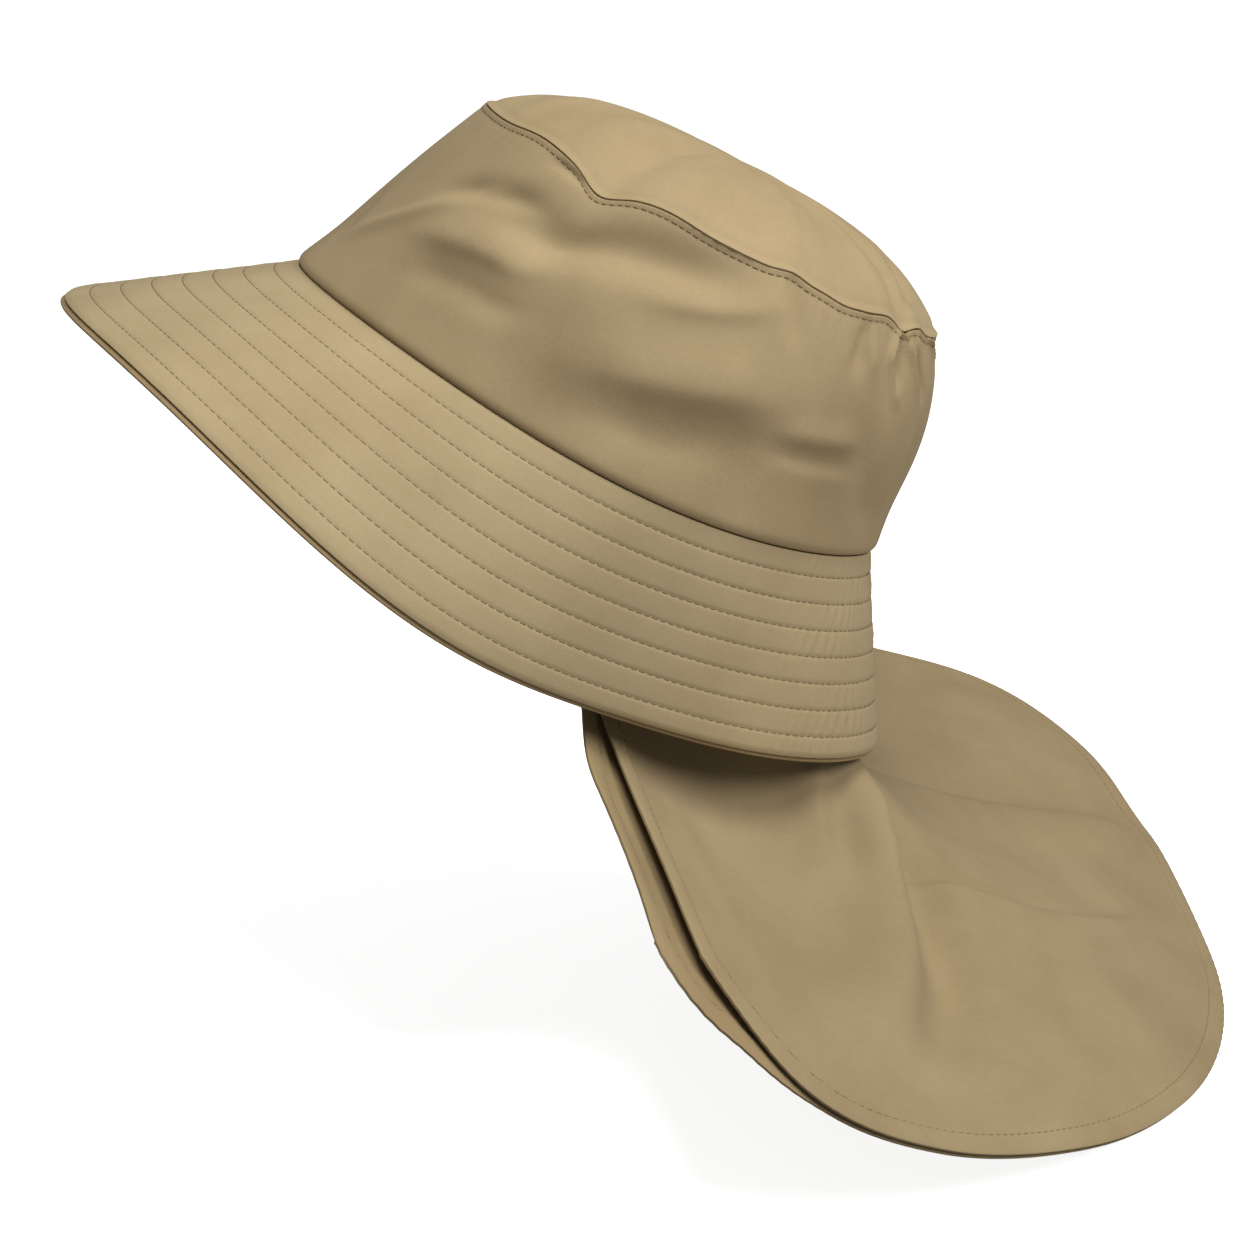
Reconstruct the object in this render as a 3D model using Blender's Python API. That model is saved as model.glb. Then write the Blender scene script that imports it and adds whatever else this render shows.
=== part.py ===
# Safari hat: a soft bucket crown, a wide stitched brim of two layers and a two-ply neck flap.
# Metres, +Z up. The origin is the centre of the head opening, where the crown meets the brim.
# The front of the hat faces -Y and its left side faces +X. It is worn tipped back by WEAR_TILT and
# leaning a little to its right by WEAR_LEAN.
# The crown and the brim are set out in the hat's own frame, with the opening level, and are turned
# by the empty hat_wearing_pose. The neck flap hangs by its own weight and is set out as it hangs.

import bpy
import bmesh
import math
from mathutils import Matrix, Vector

MM = 0.001

# Head opening and how the hat is worn
OPENING_LENGTH = 206 * MM
OPENING_WIDTH = 168 * MM
WEAR_TILT = math.radians(26.5)
WEAR_LEAN = math.radians(8.1)

# Crown
CROWN_HEIGHT = 72 * MM
TIP_LENGTH = 161 * MM
TIP_WIDTH = 136 * MM
TIP_SET_BACK = 8.5 * MM
TIP_RISE = 20 * MM
TIP_FULLNESS = 3.4
SIDE_WALL = 1.5 * MM
SIDE_ROLL = 1.0 * MM
TIP_WALL = 1.5 * MM

# Brim
BRIM_WIDTH = 68 * MM
BRIM_LAYER = 1.0 * MM
BRIM_UNDER_EXTRA = 0.6 * MM
LAYER_GAP = 0.4 * MM

# Neck flap
FLAP_REACH = 118 * MM
FLAP_DROP = 90 * MM
FLAP_PLY = 1.0 * MM
FLAP_CLEARANCE = 3.5 * MM
PLY_GAP = 0.8 * MM
FLAP_PEEP = 13 * MM
FLAP_STAND_OFF = 3.5 * MM
FLAP_RECESS = 22 * MM
RECESS_HEADING = math.radians(12)

# Share of the way down the flap at which it passes below the brim's edge, and share of the brim's
# width at which its top edge is sewn under the brim
FLAP_BEND_SHARE = 0.36
FLAP_TOP_SHARE = 0.03

# Clearance between touching pieces, and where the side and the tip sit on what carries them
GAP = 0.3 * MM
SIDE_SEAT = GAP + 0.6 * SIDE_WALL
TIP_SEAT = TIP_WALL + GAP

# Divisions
AROUND = 72
SIDE_STEPS = 7
TIP_STEPS = 5
BRIM_STEPS = 5
FLAP_COLUMNS = 36
FLAP_ROWS = 12

# Even forms round the hat: one value at the front, the front corner (60 degrees), the back corner
# (120 degrees) and the back. Lengths are shares of the size named in the heading.
#                     front  front corner  back corner  back
SEAM_LIFT_SHARES = (-0.025, -0.030, -0.079, 0.025)  # of CROWN_HEIGHT
TIP_SEAM_SHARES = (0.990, 0.969, 0.990, 1.000)      # of CROWN_HEIGHT
SIDE_BULGE_SHARES = (0.015, 0.035, 0.060, 0.078)    # of CROWN_HEIGHT
BRIM_SHARES = (1.092, 1.032, 0.930, 0.937)          # of BRIM_WIDTH
BRIM_DROOP = (34.4, 37.6, 82.3, 59.5)               # degrees below the opening's plane

# Dents of the crown's side: angle round the hat in degrees, height as a share of CROWN_HEIGHT,
# half length and half width as shares of CROWN_HEIGHT, slant in degrees, depth as a share of it.
SIDE_DENTS = (
    # angle, height, half_length, half_width, slant, depth
    (66, 0.82, 0.34, 0.14, -14, 0.050),
    (44, 0.62, 0.42, 0.12, 38, 0.030),
    (104, 0.72, 0.50, 0.15, -30, 0.035),
    (146, 0.82, 0.26, 0.06, 84, 0.050),
    (162, 0.70, 0.34, 0.06, 98, 0.045),
)

# Dents of the crown's tip: place across and along as shares of the half tip, half sizes and depth as
# shares of TIP_LENGTH, slant in degrees.
TIP_DENTS = (
    # across, along, half_length, half_width, slant, depth
    (0.30, -0.62, 0.22, 0.05, 20, 0.014),
    (0.10, -0.30, 0.24, 0.06, 12, 0.010),
    (0.35, 0.86, 0.10, 0.03, 70, 0.018),
)

# Rows of the neck flap from ear to ear. Each row leaves the opening at seam_angle, passes below the
# brim's edge at brim_angle, then runs off on a plan heading (0 is the left side, 90 is straight back).
# reach and drop are shares of FLAP_REACH and FLAP_DROP. recess is how far the cloth is drawn in below
# the brim's edge, as a share of FLAP_RECESS.
FLAP_TABLE = (
    # seam_angle, brim_angle, heading, reach, drop, recess
    (88, 120, 33, 0.66, 0.53, 0.6),
    (104, 128, 37, 0.93, 0.83, 0.9),
    (122, 137, 48, 1.02, 0.99, 1.0),
    (141, 150, 64, 1.02, 1.06, 0.8),
    (160, 165, 79, 1.00, 1.06, 0.3),
    (180, 180, 94, 1.03, 1.01, 0.0),
    (200, 195, 109, 1.13, 0.94, 0.0),
    (219, 210, 121, 1.27, 0.79, 0.0),
    (238, 224, 133, 1.40, 0.60, 0.0),
    (256, 238, 140, 1.34, 0.47, 0.0),
    (272, 250, 144, 0.95, 0.33, 0.0),
)

# Folds of the neck flap: where each starts and ends, as a row number and a share of the way down,
# its half width in rows, and its height above the cloth and the depth of the valley behind it as
# shares of FLAP_REACH.
FLAP_FOLDS = (
    # row_start, down_start, row_end, down_end, half_width, height, valley
    (4.65, 0.36, 2.00, 0.88, 0.42, 0.090, 0.070),
    (3.85, 0.36, 2.70, 0.62, 0.25, 0.022, 0.016),
    (6.40, 0.45, 7.05, 1.00, 0.32, 0.034, 0.020),
    (3.90, 0.54, 5.90, 0.90, 0.28, 0.030, 0.018),
)

# Colours in sRGB
CROWN_COLOUR = "A08B65"
TIP_COLOUR = "A58F69"
BRIM_COLOUR = "B19E79"
BRIM_UNDER_COLOUR = "978260"
FLAP_COLOUR = "A5926F"
FLAP_INNER_COLOUR = "8C7751"


def even_series(values, angle):
    """Smooth even form round the hat through its values at 0, 60, 120 and 180 degrees."""
    front, front_corner, back_corner, back = values
    mean = (front + 2 * front_corner + 2 * back_corner + back) / 6
    first = (front + front_corner - back_corner - back) / 3
    second = (front - front_corner - back_corner + back) / 3
    third = (front - 2 * front_corner + 2 * back_corner - back) / 6
    turn = math.radians(angle)
    return mean + first * math.cos(turn) + second * math.cos(2 * turn) + third * math.cos(3 * turn)


def hump(distance, half_width):
    """Rounded hump, 1 in the middle, that fades out past its half width."""
    return math.exp(-(distance / half_width) ** 2)


def opening_point(angle):
    turn = math.radians(angle)
    lift = CROWN_HEIGHT * even_series(SEAM_LIFT_SHARES, angle)
    return Vector((OPENING_WIDTH / 2 * math.sin(turn), -OPENING_LENGTH / 2 * math.cos(turn), lift))


def outward(angle):
    """Level direction square to the opening's edge."""
    turn = math.radians(angle)
    return Vector((math.sin(turn) / OPENING_WIDTH, -math.cos(turn) / OPENING_LENGTH, 0)).normalized()


def tip_seam_point(angle):
    turn = math.radians(angle)
    height = CROWN_HEIGHT * even_series(TIP_SEAM_SHARES, angle)
    along = TIP_SET_BACK - TIP_LENGTH / 2 * math.cos(turn)
    return Vector((TIP_WIDTH / 2 * math.sin(turn), along, height))


def side_dent(angle, share):
    """Depth of the dents in the crown's side at a place on it."""
    depth = 0
    girth = math.pi * (OPENING_LENGTH + OPENING_WIDTH) / 2
    for centre, height, half_length, half_width, slant, deep in SIDE_DENTS:
        along = (angle - centre) / 360 * girth / CROWN_HEIGHT
        up = share - height
        lean = math.radians(slant)
        lengthwise = along * math.cos(lean) + up * math.sin(lean)
        crosswise = up * math.cos(lean) - along * math.sin(lean)
        depth += deep * hump(lengthwise, half_length) * hump(crosswise, half_width)
    return CROWN_HEIGHT * depth


def side_point(angle, share):
    """Outer face of the crown's side, share 0 at the opening and 1 at the tip seam."""
    lower = opening_point(angle) + Vector((0, 0, SIDE_SEAT))
    upper = tip_seam_point(angle) - Vector((0, 0, TIP_SEAT))
    point = lower.lerp(upper, share)
    bulge = CROWN_HEIGHT * even_series(SIDE_BULGE_SHARES, angle) * math.sin(math.pi * share ** 1.3)
    roll = SIDE_ROLL * hump(share, 0.10)
    fade = smooth_step(share, 0, 0.35) * (1 - smooth_step(share, 0.85, 1))
    return point + outward(angle) * (bulge + roll - fade * side_dent(angle, share))


def tip_point(angle, share):
    """Outer face of the tip, share 0 at its middle and 1 at its seam."""
    point = tip_seam_point(angle)
    middle = Vector((0, TIP_SET_BACK, CROWN_HEIGHT))
    point = middle.lerp(point, share)
    rise = TIP_RISE * (1 - share ** TIP_FULLNESS)
    turn = math.radians(angle)
    x = share * math.sin(turn)
    y = -share * math.cos(turn)
    depth = 0
    for across, along, half_length, half_width, slant, deep in TIP_DENTS:
        lean = math.radians(slant)
        dx = (x - across) * TIP_WIDTH / TIP_LENGTH
        dy = y - along
        lengthwise = dx * math.cos(lean) + dy * math.sin(lean)
        crosswise = dy * math.cos(lean) - dx * math.sin(lean)
        depth += deep * hump(lengthwise, half_length) * hump(crosswise, half_width)
    return point + Vector((0, 0, rise - TIP_LENGTH * depth * (1 - share ** 6)))


def brim_point(angle, share, below=0):
    """Brim from the opening (share 0) to its edge (1), a given distance below its upper face."""
    droop = math.radians(even_series(BRIM_DROOP, angle))
    width = BRIM_WIDTH * even_series(BRIM_SHARES, angle)
    out = outward(angle)
    along = out * math.cos(droop) - Vector((0, 0, math.sin(droop)))
    down = -out * math.sin(droop) - Vector((0, 0, math.cos(droop)))
    return opening_point(angle) + along * (share * width) + down * below


def worn_turn():
    return Matrix.Rotation(-WEAR_TILT, 3, "X") @ Matrix.Rotation(-WEAR_LEAN, 3, "Y")


def worn(point):
    """Place of a point of the hat's own frame once the hat is worn."""
    return worn_turn() @ point


def curve_between(start, start_slope, end, end_slope, part):
    """Cubic curve from start to end with the given slopes there."""
    return (
        start * (2 * part ** 3 - 3 * part ** 2 + 1)
        + start_slope * (part ** 3 - 2 * part ** 2 + part)
        + end * (3 * part ** 2 - 2 * part ** 3)
        + end_slope * (part ** 3 - part ** 2)
    )


def through_rows(values, place):
    """Smooth value between the rows of a table, place counted in rows."""
    last = len(values) - 1
    index = min(int(place), last - 1)
    before = values[index - 1] if index > 0 else 2 * values[0] - values[1]
    after = values[index + 2] if index + 2 <= last else 2 * values[last] - values[last - 1]
    start = values[index]
    end = values[index + 1]
    return curve_between(start, (end - before) / 2, end, (after - start) / 2, place - index)


def flap_run(place, down):
    """Neck flap without its folds: place counted in rows from ear to ear, down 0 to 1."""
    columns = list(zip(*FLAP_TABLE))
    seam_angle, brim_angle, heading, reach, drop, recess = [through_rows(c, place) for c in columns]
    under = 2 * BRIM_LAYER + LAYER_GAP
    top = worn(brim_point(seam_angle, FLAP_TOP_SHARE, under + GAP))
    start = worn(brim_point(seam_angle, 2 * FLAP_TOP_SHARE, under + GAP)) - top
    neck = worn(brim_point(brim_angle, 1, under + FLAP_CLEARANCE))
    neck -= Vector((0, 0, FLAP_CLEARANCE))
    turn = math.radians(heading)
    plan = Vector((math.cos(turn), math.sin(turn), 0))
    hem = neck + plan * (reach * FLAP_REACH) - Vector((0, 0, drop * FLAP_DROP))
    under_brim = Vector((math.cos(RECESS_HEADING), math.sin(RECESS_HEADING), 0))
    neck = neck - under_brim * (recess * FLAP_RECESS)
    upper = neck - top
    lower = hem - neck
    bend = (upper.normalized() + lower.normalized()).normalized()
    split = FLAP_BEND_SHARE
    if down < split:
        return curve_between(top, start.normalized() * upper.length, neck, bend * upper.length, down / split)
    end = lower * 0.9 - Vector((0, 0, 0.12 * lower.length))
    return curve_between(neck, bend * lower.length * 0.8, hem, end, (down - split) / (1 - split))


def face_normal(face, place, down):
    """Direction out of the cloth whose outer face is face(place, down)."""
    last = len(FLAP_TABLE) - 1
    step = 0.03
    across = face(min(place + step, last), down) - face(max(place - step, 0), down)
    along = face(place, min(down + step / 2, 1)) - face(place, max(down - step / 2, 0))
    return along.cross(across).normalized()


def flap_fold(place, down):
    """Height of the flap's folds over its plain run."""
    height = 0
    for row_start, down_start, row_end, down_end, half_width, high, valley in FLAP_FOLDS:
        share = (down - down_start) / (down_end - down_start)
        line = row_start + (row_end - row_start) * share
        fade = smooth_step(share, -0.1, 0.25) * (1 - smooth_step(share, 0.7, 1.1))
        height += fade * high * hump(place - line, half_width)
        height -= fade * valley * hump(place - line - 1.6 * half_width, half_width)
    return height * FLAP_REACH


def smooth_step(value, low, high):
    """0 below low, 1 above high, smooth between."""
    part = min(max((value - low) / (high - low), 0), 1)
    return part * part * (3 - 2 * part)


def flap_face(place, down):
    """Outer face of the outer ply with its folds."""
    return flap_run(place, down) + face_normal(flap_run, place, down) * flap_fold(place, down)


def flap_point(place, down, below=0):
    """Outer face of the outer ply, or a face a given distance below it."""
    return flap_face(place, down) - face_normal(flap_face, place, down) * below


def off_edge(place, down, place_step, down_step):
    """Direction off the flap's edge at a place on it, square to the edge and along the cloth."""
    along = flap_run(place + place_step, down + down_step) - flap_run(place, down)
    return along.cross(face_normal(flap_run, place, down)).normalized()


def inner_ply_point(place, down):
    """Outer face of the inner ply, which stands off and peeps out along the left front edge."""
    stand_off = FLAP_STAND_OFF * hump(place, 1.1) * smooth_step(down, 0.05, 0.6)
    near_front = 1 - smooth_step(place, 0, 0.6)
    near_hem = smooth_step(down, 0.7, 1) * (1 - smooth_step(place, -0.4, 1.2))
    peep = FLAP_PEEP * smooth_step(down, 0.2, 0.6) * (1 - (1 - near_front) * (1 - near_hem))
    off_front = off_edge(0, min(down, 0.97), 0, 0.02)
    off_hem = off_edge(min(place, len(FLAP_TABLE) - 1.06), 1, 0.05, 0)
    turn = smooth_step(place, 0, 0.5)
    way = (off_front * (1 - turn) + off_hem * turn).normalized()
    return flap_point(place, down, FLAP_PLY + PLY_GAP + stand_off) + way * peep


def clear_scene():
    for item in list(bpy.data.objects):
        bpy.data.objects.remove(item, do_unlink=True)


def linear(channel):
    """One sRGB channel, 0 to 255, as a linear value."""
    value = channel / 255
    return value / 12.92 if value <= 0.04045 else ((value + 0.055) / 1.055) ** 2.4


def cloth_material(name, colour):
    material = bpy.data.materials.new(name)
    material.use_nodes = True
    shader = material.node_tree.nodes["Principled BSDF"]
    red, green, blue = [linear(int(colour[i:i + 2], 16)) for i in (0, 2, 4)]
    shader.inputs["Base Color"].default_value = (red, green, blue, 1)
    shader.inputs["Roughness"].default_value = 0.85
    shader.inputs["Metallic"].default_value = 0
    return material


def finish_piece(name, bm, wall, colour, parent):
    """Turn a one-sided sheet into a piece of cloth with a wall of its own."""
    mesh = bpy.data.meshes.new(name)
    bm.to_mesh(mesh)
    bm.free()
    mesh.shade_smooth()
    mesh.set_sharp_from_angle(angle=math.radians(50))
    piece = bpy.data.objects.new(name, mesh)
    bpy.context.scene.collection.objects.link(piece)
    mesh.materials.append(cloth_material(name + "_cloth", colour))
    thicken = piece.modifiers.new("wall", "SOLIDIFY")
    thicken.thickness = wall
    thicken.offset = -1
    thicken.use_even_offset = True
    piece.parent = parent
    return piece


def round_sheet(steps, place, middle=False):
    """Sheet all round the hat. It is laid out as unit rings one step apart, then each point is moved
    to place(angle, share), with share 0 at the first ring (or at the middle) and 1 at the last."""
    bm = bmesh.new()
    bmesh.ops.create_circle(bm, cap_ends=middle, cap_tris=middle, segments=AROUND, radius=1)
    first = 1 if middle else 0
    rim = [edge for edge in bm.edges if all(v.co.length > 0.5 for v in edge.verts)]
    for step in range(first, steps):
        grown = bmesh.ops.extrude_edge_only(bm, edges=rim)["geom"]
        rim = [item for item in grown if isinstance(item, bmesh.types.BMEdge)]
        moved = [item for item in grown if isinstance(item, bmesh.types.BMVert)]
        bmesh.ops.translate(bm, verts=moved, vec=(0, 0, 1))
    for vert in bm.verts:
        x, y, z = vert.co
        at_middle = middle and math.hypot(x, y) < 0.5
        share = 0 if at_middle else (z + first) / steps
        angle = math.degrees(math.atan2(x, -y))
        vert.co = place(angle, share)
    return bm


def flap_sheet(place):
    """Sheet from ear to ear: place(row, down) with row counted along FLAP_TABLE."""
    bm = bmesh.new()
    bmesh.ops.create_grid(bm, x_segments=FLAP_COLUMNS, y_segments=FLAP_ROWS, size=0.5)
    last = len(FLAP_TABLE) - 1
    for vert in bm.verts:
        row = (vert.co.x + 0.5) * last
        down = 0.5 - vert.co.y
        vert.co = place(min(max(row, 0), last), min(max(down, 0), 1))
    return bm


def make_crown_tip(parent):
    bm = round_sheet(TIP_STEPS, tip_point, middle=True)
    return finish_piece("crown_tip", bm, TIP_WALL, TIP_COLOUR, parent)


def make_crown_side(parent):
    bm = round_sheet(SIDE_STEPS, side_point)
    return finish_piece("crown_side", bm, SIDE_WALL, CROWN_COLOUR, parent)


def make_brim_upper(parent):
    bm = round_sheet(BRIM_STEPS, brim_point)
    bmesh.ops.reverse_faces(bm, faces=bm.faces[:])
    return finish_piece("brim_upper", bm, BRIM_LAYER, BRIM_COLOUR, parent)


def make_brim_under(parent):
    def place(angle, share):
        return brim_point(angle, share * (1 + BRIM_UNDER_EXTRA / BRIM_WIDTH), BRIM_LAYER + LAYER_GAP)
    bm = round_sheet(BRIM_STEPS, place)
    bmesh.ops.reverse_faces(bm, faces=bm.faces[:])
    return finish_piece("brim_under", bm, BRIM_LAYER, BRIM_UNDER_COLOUR, parent)


def make_neck_flap(parent):
    finish_piece("neck_flap_outer", flap_sheet(flap_point), FLAP_PLY, FLAP_COLOUR, parent)
    finish_piece("neck_flap_inner", flap_sheet(inner_ply_point), FLAP_PLY, FLAP_INNER_COLOUR, parent)


def make_hat():
    clear_scene()
    pose = bpy.data.objects.new("hat_wearing_pose", None)
    pose.rotation_euler = worn_turn().to_euler()
    bpy.context.scene.collection.objects.link(pose)
    make_crown_tip(pose)
    make_crown_side(pose)
    make_brim_upper(pose)
    make_brim_under(pose)
    make_neck_flap(None)


make_hat()
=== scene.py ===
# %% [markdown]
# # A safari hat with a long neck flap
# The hat has a soft bucket crown, a wide brim of two layers joined by rows of stitching, and a neck
# flap of two plies that hangs from under the brim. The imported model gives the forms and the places;
# this lesson dresses them as sewn cotton cloth, piece by piece.

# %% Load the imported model
import math
import bpy
import bmesh
import numpy as np
from mathutils import Matrix, Vector


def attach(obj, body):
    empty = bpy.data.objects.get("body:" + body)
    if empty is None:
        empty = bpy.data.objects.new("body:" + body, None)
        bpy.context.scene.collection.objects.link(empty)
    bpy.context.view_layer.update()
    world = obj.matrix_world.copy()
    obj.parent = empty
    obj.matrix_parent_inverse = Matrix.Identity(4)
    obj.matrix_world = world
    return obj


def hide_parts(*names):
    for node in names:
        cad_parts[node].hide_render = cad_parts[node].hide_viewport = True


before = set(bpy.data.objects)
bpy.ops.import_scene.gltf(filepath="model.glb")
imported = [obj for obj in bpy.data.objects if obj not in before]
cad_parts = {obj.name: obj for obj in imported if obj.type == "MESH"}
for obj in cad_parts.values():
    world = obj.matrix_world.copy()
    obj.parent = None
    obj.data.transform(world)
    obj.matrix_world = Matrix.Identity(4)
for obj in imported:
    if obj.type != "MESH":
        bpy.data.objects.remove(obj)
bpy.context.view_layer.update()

# %% [markdown]
# ## Sizes
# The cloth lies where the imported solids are, so the same named sizes return here. The front of the hat
# faces -Y, its left side faces +X, and the head opening is centred on the origin. An angle of 0 is the
# front of the hat, 90 its left side and 180 its back.

# %% Named sizes
MM = 0.001
OPENING_LENGTH = 206 * MM
OPENING_WIDTH = 168 * MM
WEAR_TILT = math.radians(26.5)
WEAR_LEAN = math.radians(8.1)
CROWN_HEIGHT = 72 * MM
TIP_LENGTH = 161 * MM
TIP_WIDTH = 136 * MM
TIP_SET_BACK = 8.5 * MM
TIP_RISE = 20 * MM
TIP_FULLNESS = 3.4
BRIM_WIDTH = 68 * MM
BRIM_LAYER = 1.0 * MM
LAYER_GAP = 0.4 * MM
BRIM_UNDER_EXTRA = 1.5 * MM
FLAP_REACH = 118 * MM
FLAP_DROP = 90 * MM
FLAP_CLEARANCE = 3.5 * MM
FLAP_PLY = 1.0 * MM
PLY_GAP = 0.8 * MM
FLAP_PEEP = 13 * MM
FLAP_STAND_OFF = 1.5 * MM
FLAP_RECESS = 22 * MM
RECESS_HEADING = math.radians(12)
FLAP_BEND_SHARE = 0.36
FLAP_TOP_SHARE = 0.03
GAP = 0.3 * MM
CROWN_WALL = 1.2 * MM

# Even forms round the hat, by their values at the front, 60 degrees, 120 degrees and the back
SEAM_LIFT_SHARES = (-0.025, -0.030, -0.079, 0.025)
TIP_SEAM_SHARES = (0.990, 0.969, 0.990, 1.000)
SIDE_BULGE_SHARES = (0.015, 0.035, 0.060, 0.078)
BRIM_SHARES = (1.092, 1.032, 0.930, 0.937)
BRIM_DROOP = (34.4, 37.6, 82.3, 59.5)

# Rows of the flap from the left ear to the right ear
FLAP_TABLE = (
    # seam_angle, brim_angle, heading, reach, drop, recess
    (88, 120, 33, 0.66, 0.53, 0.6),
    (104, 128, 37, 0.93, 0.83, 0.9),
    (122, 137, 48, 1.02, 0.99, 1.0),
    (141, 150, 64, 1.02, 1.06, 0.8),
    (160, 165, 79, 1.00, 1.06, 0.3),
    (180, 180, 94, 1.03, 1.01, 0.0),
    (200, 195, 109, 1.13, 0.94, 0.0),
    (219, 210, 121, 1.27, 0.79, 0.0),
    (238, 224, 133, 1.40, 0.60, 0.0),
    (256, 238, 140, 1.34, 0.47, 0.0),
    (272, 250, 144, 0.95, 0.33, 0.0),
)
LAST_ROW = len(FLAP_TABLE) - 1

# %% [markdown]
# ## Small shape helpers
# Every form is a function of a place on the cloth, worked out for whole arrays of places at once. A
# soft fold is a ridge along a line, with a rounded section that may be steeper on one side.

# %% Shape helpers
def point(x, y, z):
    return np.stack(np.broadcast_arrays(x, y, z), axis=-1).astype(float)


def even_series(values, angle):
    front, front_corner, back_corner, back = values
    mean = (front + 2 * front_corner + 2 * back_corner + back) / 6
    first = (front + front_corner - back_corner - back) / 3
    second = (front - front_corner - back_corner + back) / 3
    third = (front - 2 * front_corner + 2 * back_corner - back) / 6
    turn = np.radians(angle)
    return mean + first * np.cos(turn) + second * np.cos(2 * turn) + third * np.cos(3 * turn)


def hump(distance, half_width):
    return np.exp(-(distance / half_width) ** 2)


def smooth_step(value, low, high):
    part = np.clip((value - low) / (high - low), 0, 1)
    return part * part * (3 - 2 * part)


def unit(vectors):
    return vectors / np.maximum(np.linalg.norm(vectors, axis=-1, keepdims=True), 1e-12)


def folds(across, up, table, scale):
    """Height of the soft folds of a table at each place. A row gives two ends of a fold on the cloth,
    its half width in mm, how much wider it is on its upper side (-1 to 1), and its height in mm."""
    total = np.zeros(np.broadcast(across, up).shape)
    for x0, y0, x1, y1, half_width, skew, height in table:
        dx, dy = (x1 - x0) * scale[0], (y1 - y0) * scale[1]
        length = math.hypot(dx, dy)
        px, py = (across - x0) * scale[0], (up - y0) * scale[1]
        along = (px * dx + py * dy) / length
        aside = (py * dx - px * dy) / length
        beyond = np.maximum(0, np.maximum(0.3 * length - along, along - 0.7 * length))
        width = half_width * np.where(aside > 0, 1 + skew, 1 - skew)
        total += height * hump(aside, width) * hump(beyond, 0.26 * length + 0.5 * half_width)
    return total * MM


WORN = np.array(Matrix.Rotation(-WEAR_TILT, 3, "X") @ Matrix.Rotation(-WEAR_LEAN, 3, "Y"))


def worn(points):
    """Place of points of the hat's own frame once the hat is worn."""
    return points @ WORN.T


# %% [markdown]
# ## Sheets of cloth
# Each piece of cloth starts as a flat grid, like a piece cut from the roll. Its points then move to
# their places on the hat. The grid keeps a UV map in millimetres, so that weave and slubs follow the
# cloth. Solidify gives the cloth its thickness and a small bevel rounds its edge.

# %% Cloth sheet builder
def cloth_piece(name, columns, levels, place, cut, wall, turned=False, flat_uv=False):
    """One piece of cloth. place(u, v) takes arrays from 0 to 1 and gives points, cut is the size of
    the flat piece in mm, and levels are the steps across it."""
    bm = bmesh.new()
    uv = bm.loops.layers.uv.new("cloth_mm")
    bmesh.ops.create_grid(bm, x_segments=columns, y_segments=len(levels) - 1, size=0.5, calc_uvs=True)
    flat = np.array([vert.co for vert in bm.verts])
    steps = np.linspace(0, 1, len(levels))
    u = np.clip(flat[:, 0] + 0.5, 0, 1)
    v = np.interp(np.clip(flat[:, 1] + 0.5, 0, 1), steps, levels)
    places = place(u, v)
    for vert, spot in zip(bm.verts, places):
        vert.co = spot
    for face in bm.faces:
        for loop in face.loops:
            mapped = loop[uv].uv
            if flat_uv:
                mapped[:] = loop.vert.co.x / MM, loop.vert.co.y / MM
            else:
                mapped[:] = mapped[0] * cut[0], np.interp(mapped[1], steps, levels) * cut[1]
    bmesh.ops.remove_doubles(bm, verts=bm.verts[:], dist=0.00002)
    if turned:
        bmesh.ops.reverse_faces(bm, faces=bm.faces[:])
    area = sum(face.calc_area() for face in bm.faces)
    mesh = bpy.data.meshes.new(name)
    bm.to_mesh(mesh)
    bm.free()
    mesh.shade_smooth()
    piece = bpy.data.objects.new(name, mesh)
    bpy.context.scene.collection.objects.link(piece)
    thick = piece.modifiers.new("cloth thickness", "SOLIDIFY")
    thick.thickness = wall
    thick.offset = -1
    thick.use_even_offset = True
    edge = piece.modifiers.new("soft edge", "BEVEL")
    edge.width = 0.35 * wall
    edge.segments = 2
    edge.limit_method = "ANGLE"
    edge.angle_limit = math.radians(60)
    print(name, len(mesh.vertices), "points,", round(area * 1e4), "square cm")
    return piece, area


# %% [markdown]
# ## The opening and the brim
# The brim is two layers of cloth with stiffening between them, held together by rows of stitching
# about 9 mm apart. Each row pulls the cloth down into a narrow channel, and where the brim is steamed
# round its back the cloth between the rows gathers into short puckers.

# %% Brim form
ROW_COUNT = 7
FIRST_ROW = 0.108
ROW_STEP = 0.131
ROWS = [FIRST_ROW + row * ROW_STEP for row in range(ROW_COUNT)]
BRIM_GIRTH = 760 * MM
PUCKER_LENGTH = 5.2 * MM
PUCKER_SLANT = 2.6 * MM
rng = np.random.default_rng(7)
PUCKER_PHASE = rng.uniform(0, 2 * math.pi, 12)
PUCKER_PITCH = rng.uniform(0.82, 1.22, 12)


def opening_point(angle):
    turn = np.radians(angle)
    lift = CROWN_HEIGHT * even_series(SEAM_LIFT_SHARES, angle)
    return point(OPENING_WIDTH / 2 * np.sin(turn), -OPENING_LENGTH / 2 * np.cos(turn), lift)


def outward(angle):
    turn = np.radians(angle)
    return unit(point(np.sin(turn) / OPENING_WIDTH, -np.cos(turn) / OPENING_LENGTH, 0))


def brim_point(angle, share, below=0.0):
    droop = np.radians(even_series(BRIM_DROOP, angle))[..., None]
    width = (BRIM_WIDTH * even_series(BRIM_SHARES, angle) * share)[..., None]
    out = outward(angle)
    up = np.array([0.0, 0.0, 1.0])
    along = out * np.cos(droop) - up * np.sin(droop)
    down = -out * np.sin(droop) - up * np.cos(droop)
    return opening_point(angle) + along * width + down * np.reshape(below, np.shape(below) + (1,))


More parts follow.
